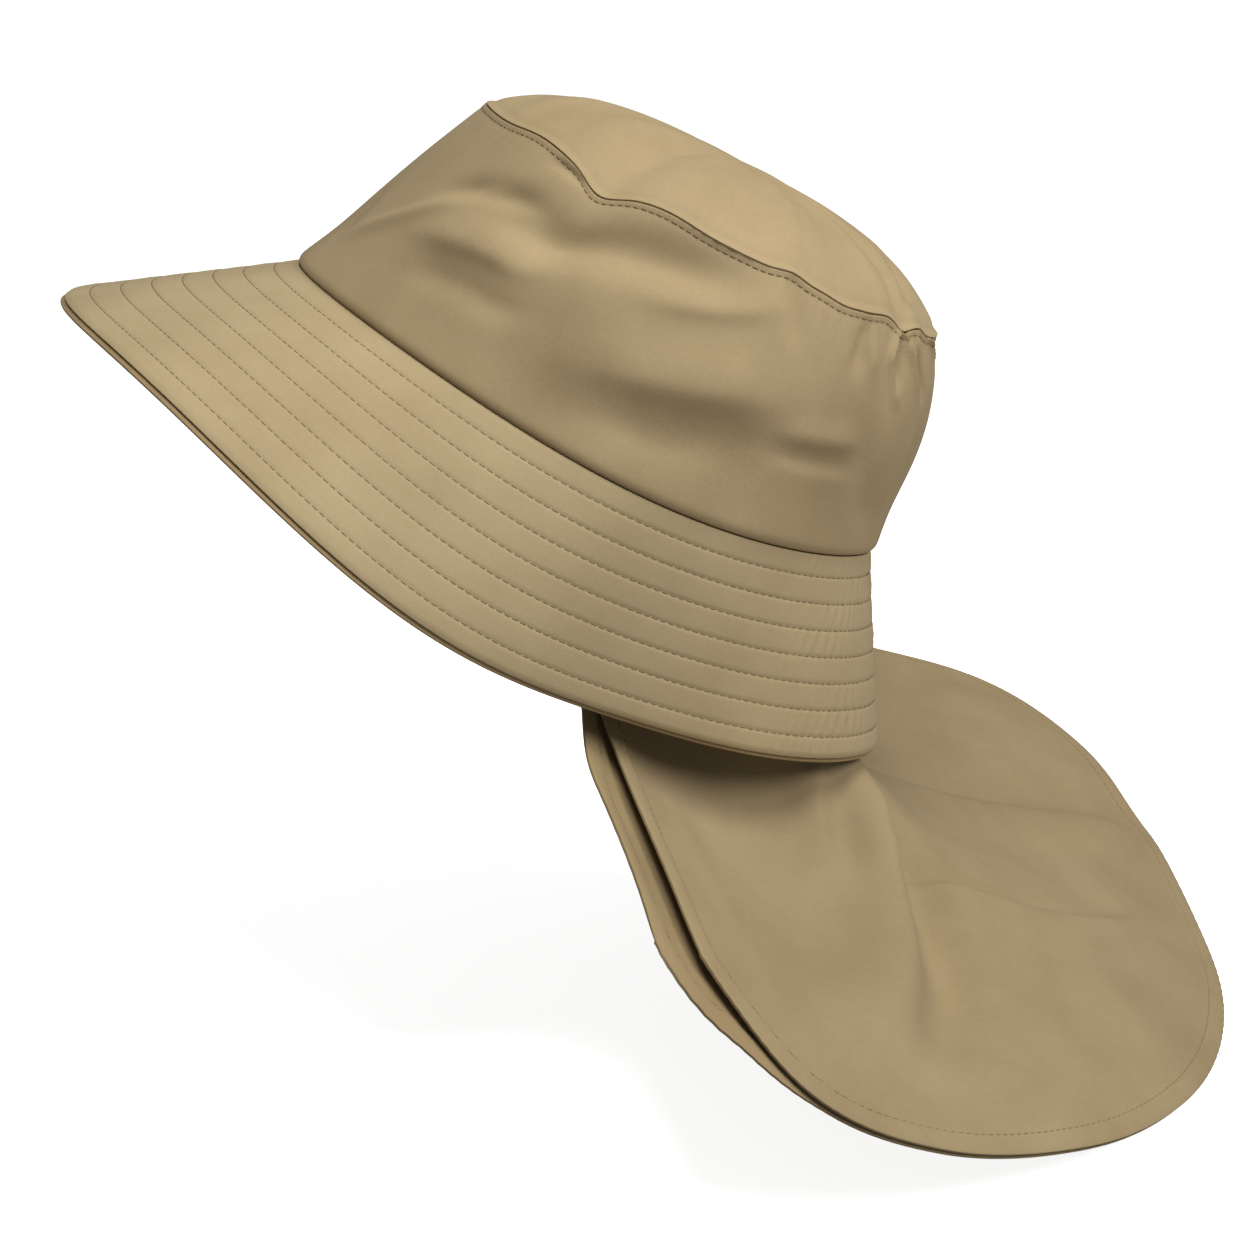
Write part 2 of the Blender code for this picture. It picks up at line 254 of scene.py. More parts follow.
def pucker_strength(angle):
    """How gathered the brim is: most round the back, a little at the front."""
    away = np.abs((angle + 180) % 360 - 180)
    return 0.06 + 0.94 * smooth_step(away, 140, 160) + 0.34 * (1 - smooth_step(away, 6, 24))


def brim_relief(angle, share):
    """Height over the plain brim in metres: channels at the rows and puckers between them."""
    place = (share - FIRST_ROW) / ROW_STEP + 1
    nearest = np.clip(np.round(place), 1, ROW_COUNT)
    channel = hump((place - nearest) * ROW_STEP * BRIM_WIDTH, 0.5 * MM)
    band = np.clip(np.floor(place), 0, ROW_COUNT).astype(int)
    part = np.clip(place - band, 0, 1)
    swell = np.sin(math.pi * np.clip(part, 0, 1)) ** 0.8
    slant = PUCKER_SLANT * (part - 0.5)
    run = (np.radians(angle) * BRIM_GIRTH / (2 * math.pi) + slant) / PUCKER_LENGTH * 2 * math.pi

    def wave(index):
        drift = 1.3 * np.sin(run * 0.13 + PUCKER_PHASE[index + 1])
        return np.sin(run * PUCKER_PITCH[index] + PUCKER_PHASE[index] + drift)

    waves = wave(band) * (1 - smooth_step(part, 0.75, 1.0)) + wave(band + 1) * smooth_step(part, 0.75, 1.0)
    patchy = 0.55 + 0.45 * np.sin(run * 0.071 + 1.7 * band)
    puckers = 0.40 * MM * pucker_strength(angle) * waves * patchy * (0.35 + 0.65 * swell)
    return 0.07 * MM * swell - 0.22 * MM * channel + puckers


def brim_face(angle, share):
    return brim_point(angle, share, -brim_relief(angle, share))


# %% Brim layers
def brim_levels():
    """Steps across the brim, closer together at each row of stitching."""
    steps = [0.0, 0.03, 0.06]
    for row in ROWS:
        steps += [row + move for move in (-0.024, -0.011, -0.005, 0.0, 0.005, 0.011, 0.024, 0.065)]
    steps = [step for step in steps if step < 0.955] + [0.965, 0.985, 0.995, 1.0]
    return sorted(set(round(step, 4) for step in steps))


def upper_brim(u, v):
    edge = 0.5 * MM * smooth_step(v, 0.975, 1.0) ** 2
    relief = brim_relief(360 * u, v) * (1 - smooth_step(v, 0.985, 1.0))
    return worn(brim_point(360 * u, v, edge - relief))


def under_brim(u, v):
    share = v * (1 + BRIM_UNDER_EXTRA / BRIM_WIDTH)
    return worn(brim_point(360 * u, share, BRIM_LAYER + LAYER_GAP + 0 * v))


brim_upper, _ = cloth_piece(
    "brim_upper_layer", 600, brim_levels(), upper_brim, (760, 68), BRIM_LAYER, turned=True)
brim_under, _ = cloth_piece(
    "brim_under_layer", 240, np.linspace(0, 1, 17), under_brim, (760, 68), BRIM_LAYER, turned=True)

# %% [markdown]
# ## The crown's side
# The side is one band of soft cloth between the brim and the tip. It has no stiffening, so it sags into
# broad dents and finer folds, and the seam at its top gathers it in places. Each fold is a row of a
# table: where it starts and ends, how wide, how lopsided and how high it is.

# %% Crown side form
CREST = (
    # where, half_width, up: places in degrees where the tip seam jogs, in mm
    (50, 11, 2.4), (70, 6, -4.2), (86, 8, 1.4), (115, 4, 1.4), (130, 5, -1.0), (143, 4, 1.3),
    (151, 3, -1.3), (158, 4, 1.5), (184, 8, 1.0), (212, 7, -1.6), (243, 9, 1.4), (281, 8, -1.5),
    (312, 9, 1.2), (338, 8, -0.8),
)
SIDE_FOLDS = (
    # angle_0, share_0, angle_1, share_1, half_width, skew, height
    (58, 0.66, 106, 0.87, 7.0, 0.30, -5.2),
    (41, 0.62, 61, 0.78, 4.2, 0.2, -2.6),
    (25, 0.26, 51, 0.71, 3.2, -0.2, 1.6),
    (46, 0.44, 70, 0.58, 5.5, 0.2, 2.3),
    (50, 0.28, 74, 0.40, 5.0, 0.0, -1.5),
    (81, 0.64, 90, 0.24, 11.0, 0.0, 1.6),
    (92, 0.38, 122, 0.55, 8.5, 0.2, 3.0),
    (96, 0.15, 126, 0.34, 7.5, 0.0, -1.5),
    (94, 0.71, 114, 0.86, 4.8, 0.2, 1.8),
    (129, 0.36, 147, 0.38, 3.3, 0.3, -1.4),
    (127, 0.45, 147, 0.49, 3.6, 0.3, 0.9),
    (115, 0.98, 122, 0.78, 3.0, 0.2, -1.1),
    (138, 0.97, 138, 0.78, 3.0, 0.0, -1.8),
    (137, 1.02, 143, 0.78, 2.4, 0.0, 1.2),
    (56, 0.945, 66, 0.985, 1.6, 0.2, -1.1),
    (20, 0.20, 17, 0.46, 4.0, 0.0, -0.8),
    (150, 1.03, 147.5, 0.87, 1.4, 0.0, 1.9),
    (147.5, 0.89, 154, 0.70, 1.6, 0.0, 1.5),
    (150.6, 0.99, 152.5, 0.78, 2.0, 0.0, -2.2),
    (151, 1.03, 155.5, 0.91, 1.2, 0.0, 1.4),
    (155, 0.93, 163.5, 0.77, 1.5, 0.0, 1.5),
    (157, 0.99, 163, 0.84, 1.2, 0.0, 0.9),
    (158, 0.90, 167, 0.76, 2.0, 0.0, -1.5),
    (165, 1.03, 182, 0.90, 1.6, 0.3, 1.5),
    (172, 1.02, 186, 0.88, 3.2, 0.2, -1.8),
    (165, 0.60, 165, 0.20, 5.0, 0.0, 1.0),
    (146, 0.56, 160, 0.14, 5.5, 0.0, -1.3),
    (196, 0.90, 214, 0.50, 6.0, 0.2, -2.2),
    (212, 1.00, 213, 0.72, 2.2, 0.0, -1.6),
    (208, 1.00, 206, 0.74, 2.0, 0.0, 1.2),
    (228, 0.78, 262, 0.62, 8.0, 0.2, -3.0),
    (240, 0.40, 275, 0.50, 8.0, 0.0, 1.8),
    (270, 0.80, 300, 0.88, 6.0, 0.2, -2.4),
    (290, 0.30, 320, 0.55, 6.0, 0.0, 1.4),
    (305, 0.60, 335, 0.80, 4.5, 0.2, -1.7),
    (340, 0.80, 356, 0.50, 4.0, 0.0, -1.0),
)
SIDE_SCALE = (1.45, 72.0)


def seam_jog(angle):
    """How far the tip seam jogs up or down round the hat."""
    total = np.zeros(np.shape(angle))
    for where, half_width, up in CREST:
        total += up * hump((angle - where + 180) % 360 - 180, half_width)
    return total * MM


def tip_seam_point(angle):
    turn = np.radians(angle)
    height = CROWN_HEIGHT * even_series(TIP_SEAM_SHARES, angle) + seam_jog(angle)
    along = TIP_SET_BACK - TIP_LENGTH / 2 * np.cos(turn)
    return point(TIP_WIDTH / 2 * np.sin(turn), along, height)


def side_relief(angle, share):
    """Folds of the side, its turned-under lower edge and the stitched groove under the tip seam."""
    fade = smooth_step(share, 0.0, 0.22)
    wrapped = folds(angle, share, SIDE_FOLDS, SIDE_SCALE)
    wrapped += folds(angle - 360, share, SIDE_FOLDS, SIDE_SCALE)
    wrapped += folds(angle + 360, share, SIDE_FOLDS, SIDE_SCALE)
    ripple = 0.10 * MM * np.sin(angle * 1.9 + 2 * np.sin(angle * 0.21)) * smooth_step(share, 0.8, 0.97)
    groove = -0.25 * MM * hump((1 - share) * CROWN_HEIGHT - 1.6 * MM, 0.8 * MM)
    return fade * wrapped + ripple + groove


def side_face(angle, share):
    lower = opening_point(angle) + point(0, 0, 0.5 * MM)
    upper = tip_seam_point(angle) - point(0, 0, 0.6 * MM)
    share_column = np.asarray(share)[..., None]
    base = lower * (1 - share_column) + upper * share_column
    bulge = CROWN_HEIGHT * even_series(SIDE_BULGE_SHARES, angle) * np.sin(math.pi * share ** 1.3)
    roll = 1.5 * MM * np.sqrt(np.clip(share / 0.035, 0, 1)) * hump(share, 0.16)
    seam_edge = 0.3 * MM * smooth_step(share, 0.965, 0.985)
    relief = bulge + roll + seam_edge + side_relief(angle, share)
    return base + outward(angle) * relief[..., None]


def side_levels():
    low = [0.0, 0.004, 0.010, 0.018, 0.028, 0.042]
    high = [0.955, 0.965, 0.972, 0.980, 0.988, 0.994, 1.0]
    return low + list(np.linspace(0.06, 0.94, 44)) + high


def crown_side_place(u, v):
    return worn(side_face(360 * u, v))


crown_side, _ = cloth_piece(
    "crown_side_band", 480, side_levels(), crown_side_place, (560, 75), CROWN_WALL)

# %% [markdown]
# ## The crown's tip
# The tip is a full oval of the same cloth, sewn to the top of the side. It swells a little above its
# seam and is creased where the seam pulls it in. The seam's turned edge makes a thin rounded welt.

# %% Crown tip
TIP_FOLDS = (
    # across_0, along_0, across_1, along_1 as shares of the half tip, half_width, skew, height
    (0.88, -0.46, 0.52, -0.24, 4.5, 0.3, -2.0),
    (0.84, -0.52, 0.62, -0.50, 2.6, 0.0, 0.9),
    (0.62, -0.10, 0.40, 0.06, 5.0, 0.0, -0.9),
    (0.52, 0.90, 0.02, 0.70, 3.0, -0.4, -2.4),
    (0.60, 0.80, 0.20, 0.58, 4.0, 0.0, 1.0),
    (0.55, -0.86, 0.10, -0.60, 3.6, 0.0, 0.9),
    (0.36, -0.88, 0.00, -0.74, 3.2, 0.0, -0.9),
    (0.84, 0.20, 0.45, 0.34, 5.5, 0.0, 0.9),
    (-0.80, 0.30, -0.35, 0.12, 5.0, 0.2, -1.4),
    (-0.70, -0.45, -0.30, -0.20, 5.0, 0.0, -1.2),
    (-0.35, 0.86, -0.10, 0.50, 4.0, 0.0, -1.2),
)
TIP_SCALE = (68.0, 80.5)


def tip_face(angle, share):
    share_column = np.asarray(share)[..., None]
    middle = point(0, TIP_SET_BACK, CROWN_HEIGHT)
    base = middle * (1 - share_column) + tip_seam_point(angle) * share_column
    rise = TIP_RISE * (1 - share ** TIP_FULLNESS)
    turn = np.radians(angle)
    across, along = share * np.sin(turn), -share * np.cos(turn)
    relief = folds(across, along, TIP_FOLDS, TIP_SCALE) * (1 - share ** 8)
    dip = -0.5 * MM * hump((1 - share) * 70 * MM - 1.9 * MM, 1.0 * MM)
    welt = 0.15 * MM * hump((1 - share) * 70 * MM, 0.8 * MM)
    return base + point(0, 0, rise + relief + dip) + outward(angle) * welt[..., None]


def crown_tip_place(u, v):
    return worn(tip_face(360 * u, v))


tip_levels = list(np.linspace(0.0, 0.93, 34)) + [0.945, 0.957, 0.966, 0.974, 0.982, 0.99, 0.996, 1.0]
crown_tip, _ = cloth_piece(
    "crown_tip_oval", 480, tip_levels, crown_tip_place, (136, 161), 0.9 * MM, turned=True, flat_uv=True)

# %% [markdown]
# ## The neck flap
# The flap is two plies of cloth, hemmed all round, sewn in under the brim from ear to ear. It hangs
# from the brim's edge and fans out like a short cape. One deep fold starts where the brim pushes it
# out and softer ones run off towards the hem. The inner ply stands off a little at the front edge, so
# both hems show there.

# %% Flap form
FLAP_FOLDS = (
    # row_start, down_start, row_end, down_end, half_width, height, valley
    (4.65, 0.36, 2.00, 0.88, 0.42, 0.090, 0.070),
    (3.85, 0.36, 2.70, 0.62, 0.25, 0.022, 0.016),
    (6.40, 0.45, 7.05, 1.00, 0.32, 0.034, 0.020),
    (3.90, 0.54, 5.90, 0.90, 0.28, 0.030, 0.018),
)
SMALL_FOLDS = (
    # row_0, down_0, row_1, down_1, half_width, skew, height
    (6.6, 0.52, 7.0, 0.98, 5.0, 0.0, 1.0),
    (3.7, 0.67, 4.2, 0.74, 4.0, 0.2, 1.2),
    (5.3, 0.50, 6.3, 0.72, 5.0, 0.0, -0.8),
    (8.0, 0.55, 8.6, 0.90, 7.0, 0.0, 1.0),
    (1.0, 0.50, 1.1, 0.86, 6.0, 0.0, 0.8),
    (2.7, 0.86, 3.1, 0.96, 4.0, 0.0, 1.0),
)
FLAP_SCALE = (28.0, 200.0)
HEM_WIDTH = 6.8 * MM
CORNER_CUT = 1.1 * MM
CORNER_ROWS = 0.29
CORNER_DOWNS = 0.113


def curve_between(start, start_slope, end, end_slope, part):
    return (
        start * (2 * part ** 3 - 3 * part ** 2 + 1)
        + start_slope * (part ** 3 - 2 * part ** 2 + part)
        + end * (3 * part ** 2 - 2 * part ** 3)
        + end_slope * (part ** 3 - part ** 2)
    )


def through_rows(values, place):
    values = np.array(values, float)
    padded = np.concatenate([[2 * values[0] - values[1]], values, [2 * values[-1] - values[-2]]])
    index = np.clip(np.floor(place).astype(int), 0, LAST_ROW - 1)
    before, start, end, after = (padded[index + move] for move in range(4))
    return curve_between(start, (end - before) / 2, end, (after - start) / 2, place - index)


def flap_run(place, down):
    """The flap without its folds: place counted in rows, down from 0 at its top to 1 at its hem."""
    place, down = np.broadcast_arrays(np.asarray(place, float), np.asarray(down, float))
    seam_angle, brim_angle, heading, reach, drop, recess = (
        through_rows(column, place) for column in zip(*FLAP_TABLE))
    under = np.full(place.shape, 2 * BRIM_LAYER + LAYER_GAP)
    top_share = np.full(place.shape, FLAP_TOP_SHARE)
    top = worn(brim_point(seam_angle, top_share, under + GAP))
    start = unit(worn(brim_point(seam_angle, 2 * top_share, under + GAP)) - top)
    neck = worn(brim_point(brim_angle, np.ones(place.shape), under + FLAP_CLEARANCE))
    neck = neck - point(0, 0, FLAP_CLEARANCE)
    turn = np.radians(heading)
    lower = point(np.cos(turn) * reach * FLAP_REACH, np.sin(turn) * reach * FLAP_REACH, -drop * FLAP_DROP)
    hem = neck + lower
    under_brim = point(math.cos(RECESS_HEADING) * recess, math.sin(RECESS_HEADING) * recess, 0)
    neck = neck - under_brim * FLAP_RECESS
    lower = hem - neck
    upper = neck - top
    upper_length = np.linalg.norm(upper, axis=-1, keepdims=True)
    lower_length = np.linalg.norm(lower, axis=-1, keepdims=True)
    bend = unit(upper / upper_length + lower / lower_length)
    part = (down / FLAP_BEND_SHARE)[..., None]
    first = curve_between(top, start * upper_length, neck, bend * upper_length, part)
    part = ((down - FLAP_BEND_SHARE) / (1 - FLAP_BEND_SHARE))[..., None]
    end = lower * 0.9 - np.concatenate([np.zeros_like(lower[..., :2]), 0.12 * lower_length], axis=-1)
    second = curve_between(neck, bend * lower_length * 0.8, hem, end, part)
    return np.where((down < FLAP_BEND_SHARE)[..., None], first, second)


def face_normal(face, place, down):
    """Direction out of the cloth whose outer face is face(place, down)."""
    step = 0.02
    across = face(np.minimum(place + step, LAST_ROW), down) - face(np.maximum(place - step, 0), down)
    along = face(place, np.minimum(down + step / 2, 1)) - face(place, np.maximum(down - step / 2, 0))
    return unit(np.cross(along, across))


def flap_fold(place, down):
    height = np.zeros(np.shape(place))
    for row_start, down_start, row_end, down_end, half_width, high, valley in FLAP_FOLDS:
        share = (down - down_start) / (down_end - down_start)
        line = row_start + (row_end - row_start) * share
        fade = smooth_step(share, -0.1, 0.25) * (1 - smooth_step(share, 0.7, 1.1))
        near, far = (1.25 * half_width, 0.5 * half_width)
        height = height + fade * high * hump(place - line, np.where(place < line, near, far))
        height = height - fade * valley * hump(place - line - 1.2 * half_width, 0.7 * half_width)
    upright = [(a, 1 - b, c, 1 - d, *rest) for a, b, c, d, *rest in SMALL_FOLDS]
    small = folds(place, 1 - down, upright, FLAP_SCALE)
    return height * FLAP_REACH + small * smooth_step(down, 0.36, 0.5)


def off_edge(place, down, place_step, down_step):
    """Direction off the flap's edge at a place on it, square to the edge and along the cloth."""
    along = flap_run(place + place_step, down + down_step) - flap_run(place, down)
    return unit(np.cross(along, face_normal(flap_run, place, down)))


def corner_cut(place, down):
    """Rounds the outline where the flap's left front edge runs into its hem."""
    def near(distance, length):
        return (1 - np.clip(distance / length, 0, 1)) ** 2

    start, low, last = np.zeros(1), np.full(1, 0.97), np.ones(1)
    way = unit(off_edge(start, low, 0, 0.02) + off_edge(start, last, 0.05, 0))
    return way * (CORNER_CUT * near(place, CORNER_ROWS) * near(1 - down, CORNER_DOWNS))[..., None]


def flap_face(place, down):
    fold = face_normal(flap_run, place, down) * flap_fold(place, down)[..., None]
    return flap_run(place, down) + fold - corner_cut(place, down)


def inner_face(place, down):
    """Outer face of the inner ply, which stands off and peeps out along the left front edge."""
    stand_off = FLAP_STAND_OFF * hump(place, 1.1) * smooth_step(down, 0.05, 0.6)
    depth = FLAP_PLY + PLY_GAP + stand_off
    near_front = 1 - smooth_step(place, 0, 0.6)
    near_hem = smooth_step(down, 0.7, 1) * (1 - smooth_step(place, -0.4, 1.2))
    peep = FLAP_PEEP * smooth_step(down, 0.2, 0.6) * (1 - (1 - near_front) * (1 - near_hem))
    off_front = off_edge(0 * place, np.minimum(down, 0.97), 0, 0.02)
    off_hem = off_edge(place, 0 * down + 1, 0.05, 0)
    turn = smooth_step(place, 0, 0.5)[..., None]
    way = unit(off_front * (1 - turn) + off_hem * turn)
    base = flap_face(place, down) - face_normal(flap_face, place, down) * depth[..., None]
    return base + way * peep[..., None]


# %% Hem: how far each place is from the flap's edge
def edge_path(count):
    """Rows and downs round the flap's free edge: left front edge, hem, right front edge."""
    side = np.linspace(0.30, 1, count)
    rows = np.linspace(0, LAST_ROW, 3 * count)
    place = np.concatenate([0 * side, rows[1:-1], 0 * side + LAST_ROW])
    down = np.concatenate([side, 0 * rows[1:-1] + 1, side[::-1]])
    return place, down


def edge_distance(face, points):
    """Distance of each point from the free edge of a ply, in metres."""
    edge = face(*edge_path(120))
    shortest = np.full(len(points), 1.0)
    for start in range(0, len(points), 4000):
        block = points[start:start + 4000]
        gaps = np.linalg.norm(block[:, None, :] - edge[None, :, :], axis=-1)
        shortest[start:start + 4000] = gaps.min(axis=1)
    return shortest


def hem_relief(distance):
    """The folded hem is thicker than the ply, with a groove at its stitching and a rounded edge."""
    band = 0.70 * MM * (1 - smooth_step(distance, HEM_WIDTH + 0.6 * MM, HEM_WIDTH + 1.6 * MM))
    groove = -0.50 * MM * hump(distance - HEM_WIDTH, 0.9 * MM)
    edge = -0.4 * MM * hump(distance, 0.9 * MM)
    return band + groove + edge


def hemmed(face):
    """place(u, v) of a ply with its hem."""
    def place(u, v):
        row = LAST_ROW * u
        down = 1 - v
        points = face(row, down)
        relief = hem_relief(edge_distance(face, points)) * smooth_step(down, 0.30, 0.36)
        return points + face_normal(face, row, down) * relief[:, None]
    return place


def flap_levels():
    hem = [0.0, 0.003, 0.007, 0.013, 0.020, 0.026, 0.030, 0.034, 0.040, 0.050]
    return hem + list(np.linspace(0.06, 1.0, 92))


FLAP_COLUMNS = 240
flap_outer, outer_area = cloth_piece(
    "neck_flap_outer_ply", FLAP_COLUMNS, flap_levels(), hemmed(flap_face), (300, 215), FLAP_PLY)
flap_inner, inner_area = cloth_piece(
    "neck_flap_inner_ply", FLAP_COLUMNS, flap_levels(), hemmed(inner_face), (300, 215), FLAP_PLY)

# %% [markdown]
# ## Stitching
# A lockstitch shows on top as a row of short plump threads end to end, each pulled down at its ends.
# One small rounded bead of thread stands for each. The bead is shaped once from a sphere of few faces,
# and copies of it are laid along the line that was sewn, because there are thousands of them.

# %% Stitch rows
STITCH_PITCH = 2.8 * MM
bm = bmesh.new()
bmesh.ops.create_uvsphere(bm, u_segments=6, v_segments=4, radius=0.5)
bmesh.ops.rotate(bm, verts=bm.verts[:], matrix=Matrix.Rotation(math.pi / 2, 3, "Y"))
BEAD_POINTS = np.array([vert.co for vert in bm.verts])
BEAD_FACES = [[vert.index for vert in face.verts] for face in bm.faces]
bm.free()


def stitch_row(points, normals, pitch=STITCH_PITCH, thread=0.50 * MM, closed=False):
    """Points of all the beads of one row, sewn along a dense line of points."""
    if closed:
        points = np.vstack([points, points[:1]])
        normals = np.vstack([normals, normals[:1]])
    run = np.concatenate([[0], np.cumsum(np.linalg.norm(np.diff(points, axis=0), axis=1))])
    count = max(int(run[-1] / pitch), 1)
    middles = (np.arange(count) + 0.5) * run[-1] / count

    def along_line(values, places):
        return np.stack([np.interp(places, run, values[:, axis]) for axis in range(3)], axis=-1)

    spot = along_line(points, middles)
    along = unit(along_line(points, middles + 0.3 * pitch) - along_line(points, middles - 0.3 * pitch))
    aside = unit(np.cross(along_line(normals, middles), along))
    up = np.cross(along, aside)
    size = np.array([0.82 * pitch, thread, 0.8 * thread])
    turn = np.stack([along, aside, up], axis=1) * size[None, :, None]
    return (spot + 0.10 * thread * up)[:, None, :] + np.einsum("pa,nab->npb", BEAD_POINTS, turn)


def thread_piece(name, rows_of_beads):
    beads = np.concatenate(rows_of_beads)
    step = len(BEAD_POINTS)
    faces = [[index + step * bead for index in face] for bead in range(len(beads)) for face in BEAD_FACES]
    mesh = bpy.data.meshes.new(name)
    mesh.from_pydata(beads.reshape(-1, 3).tolist(), [], faces)
    mesh.shade_smooth()
    piece = bpy.data.objects.new(name, mesh)
    bpy.context.scene.collection.objects.link(piece)
    print(name, len(beads), "stitches")
    return piece


def surface_normals(points_at, a, b, step_a, step_b):
    """Normals of points_at(a, b) from two short steps on it."""
    first = points_at(a + step_a, b) - points_at(a - step_a, b)
    second = points_at(a, b + step_b) - points_at(a, b - step_b)
    return unit(np.cross(first, second))


around = np.linspace(0, 360, 1440, endpoint=False)


def worn_brim_face(angle, share):
    return worn(brim_face(angle, share))


rows = []
for row in ROWS:
    share = np.full(around.shape, row)
    normals = -surface_normals(worn_brim_face, around, share, 0.4, 0.004)
    rows.append(stitch_row(worn_brim_face(around, share), normals, closed=True))
brim_stitches = thread_piece("brim_stitch_rows", rows)


def worn_side_face(angle, share):
    return worn(side_face(angle, share))


share = np.full(around.shape, 1 - 1.6 * MM / CROWN_HEIGHT)
normals = surface_normals(worn_side_face, around, share, 0.4, 0.004)
tip_stitches = thread_piece("tip_seam_stitches", [
    stitch_row(worn_side_face(around, share), normals, 2.5 * MM, closed=True)])

# %% [markdown]
# The hem's stitching runs a hem's width inside the free edge. From each place on the edge the line
# steps inwards on the cloth: two small steps along the ply's own directions are solved for, so the line
# stays on the cloth and turns softly at the corners.

# %% Hem stitching
def hem_line(face, inset):
    """Rows and downs of a line that runs inset metres inside the free edge of a ply."""
    place, down = edge_path(260)
    edge = face(place, down)
    ahead = np.roll(edge, -6, axis=0)
    behind = np.roll(edge, 6, axis=0)
    ahead[-6:], behind[:6] = edge[-1], edge[0]
    tangent = unit(ahead - behind)
    inward_row, inward_down = place.copy(), down.copy()
    aim = edge + inset * unit(np.cross(face_normal(face, place, down), tangent))
    for _ in range(6):
        now = face(inward_row, inward_down)
        by_row = (face(inward_row + 0.01, inward_down) - now) / 0.01
        by_down = (face(inward_row, inward_down - 0.005) - now) / -0.005
        miss = aim - now
        a, b, c = (by_row * by_row).sum(-1), (by_row * by_down).sum(-1), (by_down * by_down).sum(-1)
        p, q = (by_row * miss).sum(-1), (by_down * miss).sum(-1)
        fixed = a * c - b * b
        inward_row = np.clip(inward_row + (c * p - b * q) / fixed, 0, LAST_ROW - 0.011)
        inward_down = np.clip(inward_down + (a * q - b * p) / fixed, 0.006, 1)
    kernel = np.hanning(15) / np.hanning(15).sum()
    inward_row = np.convolve(np.pad(inward_row, 7, mode="edge"), kernel, mode="valid")
    inward_down = np.convolve(np.pad(inward_down, 7, mode="edge"), kernel, mode="valid")
    return inward_row, inward_down


def hem_stitches(name, face):
    place, down = hem_line(face, HEM_WIDTH)
    normals = face_normal(face, place, down)
    relief = hem_relief(edge_distance(face, face(place, down)))
    return thread_piece(name, [stitch_row(face(place, down) + normals * relief[:, None], normals)])


outer_stitches = hem_stitches("outer_hem_stitches", flap_face)
inner_stitches = hem_stitches("inner_hem_stitches", inner_face)

# %% [markdown]
# ## Cotton cloth
# The hat is a tightly woven cotton and microfibre cloth, brushed so that it looks soft and matt with a
# faint bloom of light at grazing angles. Threads lie about half a millimetre apart, which is too fine
# to show, so the weave is drawn at 0.7 mm. Colour drifts a little over the cloth, and fine slubs
# break it up. The thread is drawn darker, as painted shade for its grooves and holes, and shines more.

# %% Material helpers
def linear(hex_colour):
    """sRGB hex as linear red, green, blue and alpha."""
    channels = [int(hex_colour[i:i + 2], 16) / 255 for i in (0, 2, 4)]
    return [c / 12.92 if c <= 0.04045 else ((c + 0.055) / 1.055) ** 2.4 for c in channels] + [1]


def add_node(material, kind, settings=None, links=None):
    """One node of a material, with its settings, and with sockets linked from other nodes' outputs."""
    node = material.node_tree.nodes.new(kind)
    for name, value in (settings or {}).items():
        if isinstance(name, int) or name in node.inputs:
            node.inputs[name].default_value = value
        else:
            setattr(node, name, value)
    for name, source in (links or {}).items():
        material.node_tree.links.new(source, node.inputs[name])
    return node


WEAVE_MM = 0.7
SLUB_MM = 1.6
BLOTCH_MM = 38


def woven_cotton(name, light, dark, roughness=0.82, weave=0.10):
    material = bpy.data.materials.new(name)
    material.use_nodes = True
    shader = material.node_tree.nodes["Principled BSDF"]
    place = add_node(material, "ShaderNodeUVMap", {"uv_map": "cloth_mm"}).outputs["UV"]
    body = add_node(material, "ShaderNodeTexCoord").outputs["Object"]
    warp = add_node(material, "ShaderNodeTexWave",
                    {"bands_direction": "X", "Scale": math.pi / (10 * WEAVE_MM), "Distortion": 0.6,
                     "Detail": 1.0}, {"Vector": place}).outputs["Fac"]
    weft = add_node(material, "ShaderNodeTexWave",
                    {"bands_direction": "Y", "Scale": math.pi / (10 * WEAVE_MM), "Distortion": 0.6,
                     "Detail": 1.0}, {"Vector": place}).outputs["Fac"]
    threads = add_node(material, "ShaderNodeMath", {"operation": "MULTIPLY"}, {0: warp, 1: weft}).outputs[0]
    slub = add_node(material, "ShaderNodeTexNoise", {"Scale": 1 / SLUB_MM, "Detail": 3.0, "Roughness": 0.6},
                    {"Vector": place}).outputs["Fac"]
    blotch = add_node(material, "ShaderNodeTexNoise", {"Scale": 1000 / BLOTCH_MM, "Detail": 3.0,
                      "Roughness": 0.55}, {"Vector": body}).outputs["Fac"]
    mixed = add_node(material, "ShaderNodeMath", {"operation": "MULTIPLY_ADD", 1: 0.35}, {0: slub, 2: blotch})
    shade = add_node(material, "ShaderNodeMapRange", {"From Min": 0.45, "From Max": 0.90},
                     {"Value": mixed.outputs[0]}).outputs["Result"]
    colour = add_node(material, "ShaderNodeMix", {"data_type": "RGBA"}, {0: shade})
    colour.inputs[6].default_value = linear(light)
    colour.inputs[7].default_value = linear(dark)
    material.node_tree.links.new(colour.outputs[2], shader.inputs["Base Color"])
    height = add_node(material, "ShaderNodeMath", {"operation": "MULTIPLY_ADD", 1: 0.9}, {0: slub, 2: threads})
    bump = add_node(material, "ShaderNodeBump", {"Strength": weave, "Distance": 0.35 * MM},
                    {"Height": height.outputs[0]})
    material.node_tree.links.new(bump.outputs["Normal"], shader.inputs["Normal"])
    shader.inputs["Roughness"].default_value = roughness
    shader.inputs["Specular IOR Level"].default_value = 0.25
    shader.inputs["Sheen Weight"].default_value = 0.12
    shader.inputs["Sheen Roughness"].default_value = 0.45
    shader.inputs["Sheen Tint"].default_value = linear("E9DCC0")
    return material


